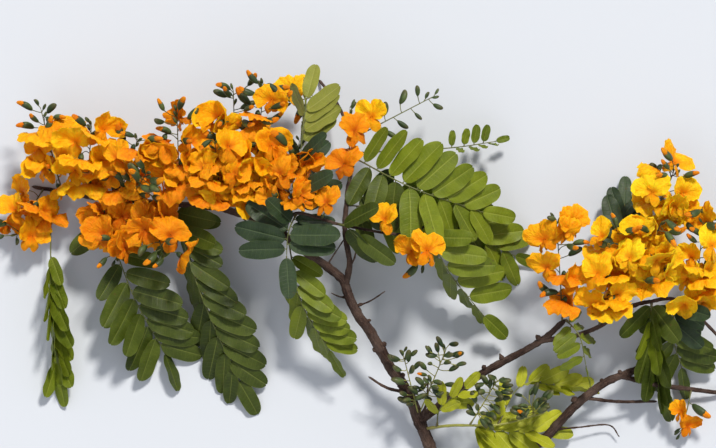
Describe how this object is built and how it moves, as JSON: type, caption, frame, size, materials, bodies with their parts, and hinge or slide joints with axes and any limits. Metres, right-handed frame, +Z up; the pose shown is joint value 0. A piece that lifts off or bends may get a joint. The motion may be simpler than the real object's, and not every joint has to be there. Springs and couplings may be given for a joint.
{
  "type": "cut flowering platypodium branch",
  "caption": "Cut branch of a flowering platypodium tree lying flat: forked brown boughs, pinnate leaves of oblong leaflets, and sprays of orange pea flowers with green buds.",
  "frame": {"origin": "on the ground under the middle of the branch's outer box", "axes": "+X along the branch's spread to its right, +Y from the cut end towards the crown, +Z up off the ground it lies on"},
  "size_m": [0.5889, 0.3822, 0.1106],
  "materials": {
    "bark": "dry brown bark, finely cracked, paler where it is worn",
    "green_twig": "smooth young green twig",
    "leaf_deep": "deep green leaf, satin, with a pale midrib",
    "leaf_fresh": "fresh green leaf, satin, with a pale midrib",
    "leaf_young": "young yellow-green leaf with clear veins",
    "leaf_sage": "pale dull green underside of a leaf",
    "leaf_blue": "dark blue-green leaf, glossier",
    "petal": "thin orange petal with yellow margins and fine veins",
    "bud": "dark green bud with an orange tip"
  },
  "bodies": {
    "root": {"bloom_hanging_left": "petal", "bloom_hanging_mid": "petal", "bloom_hanging_right": "petal", "broken_stub": "bark", "buds_left": "bud", "buds_low": "bud", "buds_low_right": "bud", "buds_shoot": "bud", "buds_shoot_end": "bud", "centre_twig": "bark", "leaf_behind": "leaf_sage", "leaf_below_twig": "leaf_fresh", "leaf_centre": "leaf_fresh", "leaf_dark": "leaf_blue", "leaf_far_left": "leaf_fresh", "leaf_hanging": "leaf_fresh", "leaf_left": "leaf_deep", "leaf_mid_left": "leaf_deep", "leaf_pale": "leaf_fresh", "leaf_right": "leaf_fresh", "leaf_right_edge": "leaf_blue", "leaf_right_low": "leaf_fresh", "leaf_sage": "leaf_sage", "leaf_thin": "leaf_fresh", "leaf_twig": "leaf_deep", "leaf_young_left": "leaf_young", "leaf_young_low": "leaf_young", "leaf_young_upper": "leaf_young", "left_bough": "bark", "left_bough_end": "bark", "lower_bough": "bark", "lower_bough_fork": "bark", "lower_twig": "bark", "main_stem": "bark", "right_bough": "bark", "right_edge_twig": "bark", "right_twig": "bark", "spray_centre_a": "petal", "spray_centre_b": "petal", "spray_crown": "petal", "spray_far_left": "petal", "spray_left_a": "petal", "spray_left_b": "petal", "spray_left_low": "petal", "spray_left_top": "petal", "spray_mid_a": "petal", "spray_mid_b": "petal", "spray_mid_low": "petal", "spray_right_a": "petal", "spray_right_b": "petal", "spray_right_c": "petal", "spray_right_edge": "petal", "spray_right_low": "petal", "spray_right_top": "petal", "spray_top": "petal", "spray_upper": "petal", "spray_upper_right": "petal", "upper_bough": "bark", "upper_bough_end": "bark", "young_shoot": "green_twig"}
  },
  "joints": []
}
